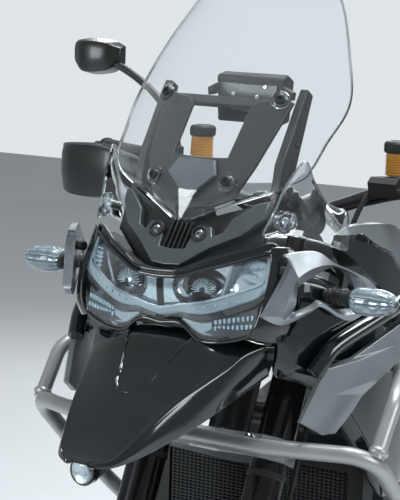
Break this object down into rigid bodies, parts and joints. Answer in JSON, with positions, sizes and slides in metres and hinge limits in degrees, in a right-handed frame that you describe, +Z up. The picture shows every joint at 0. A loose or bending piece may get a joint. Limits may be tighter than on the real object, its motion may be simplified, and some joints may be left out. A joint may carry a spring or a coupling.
{
  "type": "adventure motorcycle",
  "caption": "Large adventure touring motorcycle on its centre stand, with tall screen, beak, wire wheels, crash bars and shaft drive.",
  "frame": {"origin": "on the floor, midway between the two axles and on the middle plane", "axes": "+X forward, +Y to the rider's left, +Z up"},
  "size_m": [2.1629, 0.9818, 1.498],
  "materials": {
    "black_steel": "satin black powder coat",
    "silver_frame": "satin silver paint",
    "engine_grey": "satin dark grey paint",
    "cast_alloy": "fine cast",
    "alloy_plate": "brushed",
    "stainless": "brushed",
    "black_plastic": "fine grain",
    "gloss_black": "gloss",
    "silver_plastic": "satin metallic",
    "clear_plastic": "clear",
    "seat_cover": "textured vinyl",
    "red_lens": "clear red",
    "amber_pot": "translucent amber",
    "plate_blank": "satin",
    "rubber": "matte",
    "tyre_rubber": "matte",
    "disc_steel": "ground",
    "fork_black": "anodised satin",
    "rim_black": "satin"
  },
  "bodies": {
    "chassis": {"frame": "black_steel", "fairing_stay": "black_steel", "rear_subframe": "black_steel", "engine_case": "engine_grey", "cylinder_block": "engine_grey", "airbox": "black_plastic", "sump_guard": "alloy_plate", "radiator": "black_plastic", "exhaust_pipes": "stainless", "silencer": "stainless", "swingarm": "engine_grey", "final_drive": "engine_grey", "rear_caliper": "black_steel", "rear_shock": "black_steel", "footrests": "black_steel", "fuel_tank": "silver_plastic", "seat_rider": "seat_cover", "seat_pillion": "seat_cover", "tail_panels": "gloss_black", "luggage_rack": "black_steel", "rear_mudguard": "black_plastic", "number_plate": "plate_blank", "tail_lamp": "red_lens", "rear_indicators": "clear_plastic", "headlamp_body": "black_plastic", "headlamp_lens": "clear_plastic", "nose_cowl": "silver_plastic", "windscreen": "clear_plastic", "screen_frame": "black_plastic", "instrument_panel": "black_plastic", "wind_deflectors": "clear_plastic", "beak": "gloss_black", "side_fairings": "gloss_black", "tank_shrouds": "silver_plastic", "wing_panels": "silver_plastic", "front_indicators": "clear_plastic", "crash_bars": "silver_frame", "spot_lamps": "black_plastic"},
    "steering": {"fork_legs": "fork_black", "lower_yoke": "cast_alloy", "upper_yoke": "cast_alloy", "handlebar": "black_steel", "hand_controls": "rubber", "fluid_reservoirs": "amber_pot", "handguards": "black_plastic", "mirrors": "black_plastic", "front_mudguard": "gloss_black", "front_calipers": "black_steel", "brake_hoses": "rubber"},
    "front_wheel": {"front_rim": "rim_black", "front_tyre": "tyre_rubber", "front_discs": "disc_steel"},
    "rear_wheel": {"rear_rim": "rim_black", "rear_tyre": "tyre_rubber", "rear_disc": "disc_steel"},
    "filler_cap": {"filler_cap": "black_steel"},
    "centre_stand": {"centre_stand": "black_steel"},
    "side_stand": {"side_stand": "black_steel"}
  },
  "joints": [
    {"name": "steering", "type": "hinge", "parent": "chassis", "child": "steering", "pos_m": [0.59369, 0, 0.62167], "axis": [-0.3939, 0, 0.9191], "range_deg": [-36, 36]},
    {"name": "front_wheel_spin", "type": "hinge", "parent": "steering", "child": "front_wheel", "pos_m": [0.76, 0, 0.325], "axis": [0, 1, 0], "continuous": true},
    {"name": "rear_wheel_spin", "type": "hinge", "parent": "chassis", "child": "rear_wheel", "pos_m": [-0.76, 0, 0.338], "axis": [0, 1, 0], "continuous": true},
    {"name": "centre_stand_fold", "type": "hinge", "parent": "chassis", "child": "centre_stand", "pos_m": [-0.245, 0, 0.29], "axis": [0, 1, 0], "range_deg": [0, 74]},
    {"name": "side_stand_fold", "type": "hinge", "parent": "chassis", "child": "side_stand", "pos_m": [-0.03, 0.179, 0.288], "axis": [0, -0.9191, -0.394], "range_deg": [0, 97]},
    {"name": "filler_cap_lift", "type": "hinge", "parent": "chassis", "child": "filler_cap", "pos_m": [0.235, 0, 1.057], "axis": [0, 1, 0], "range_deg": [0, 95]}
  ]
}
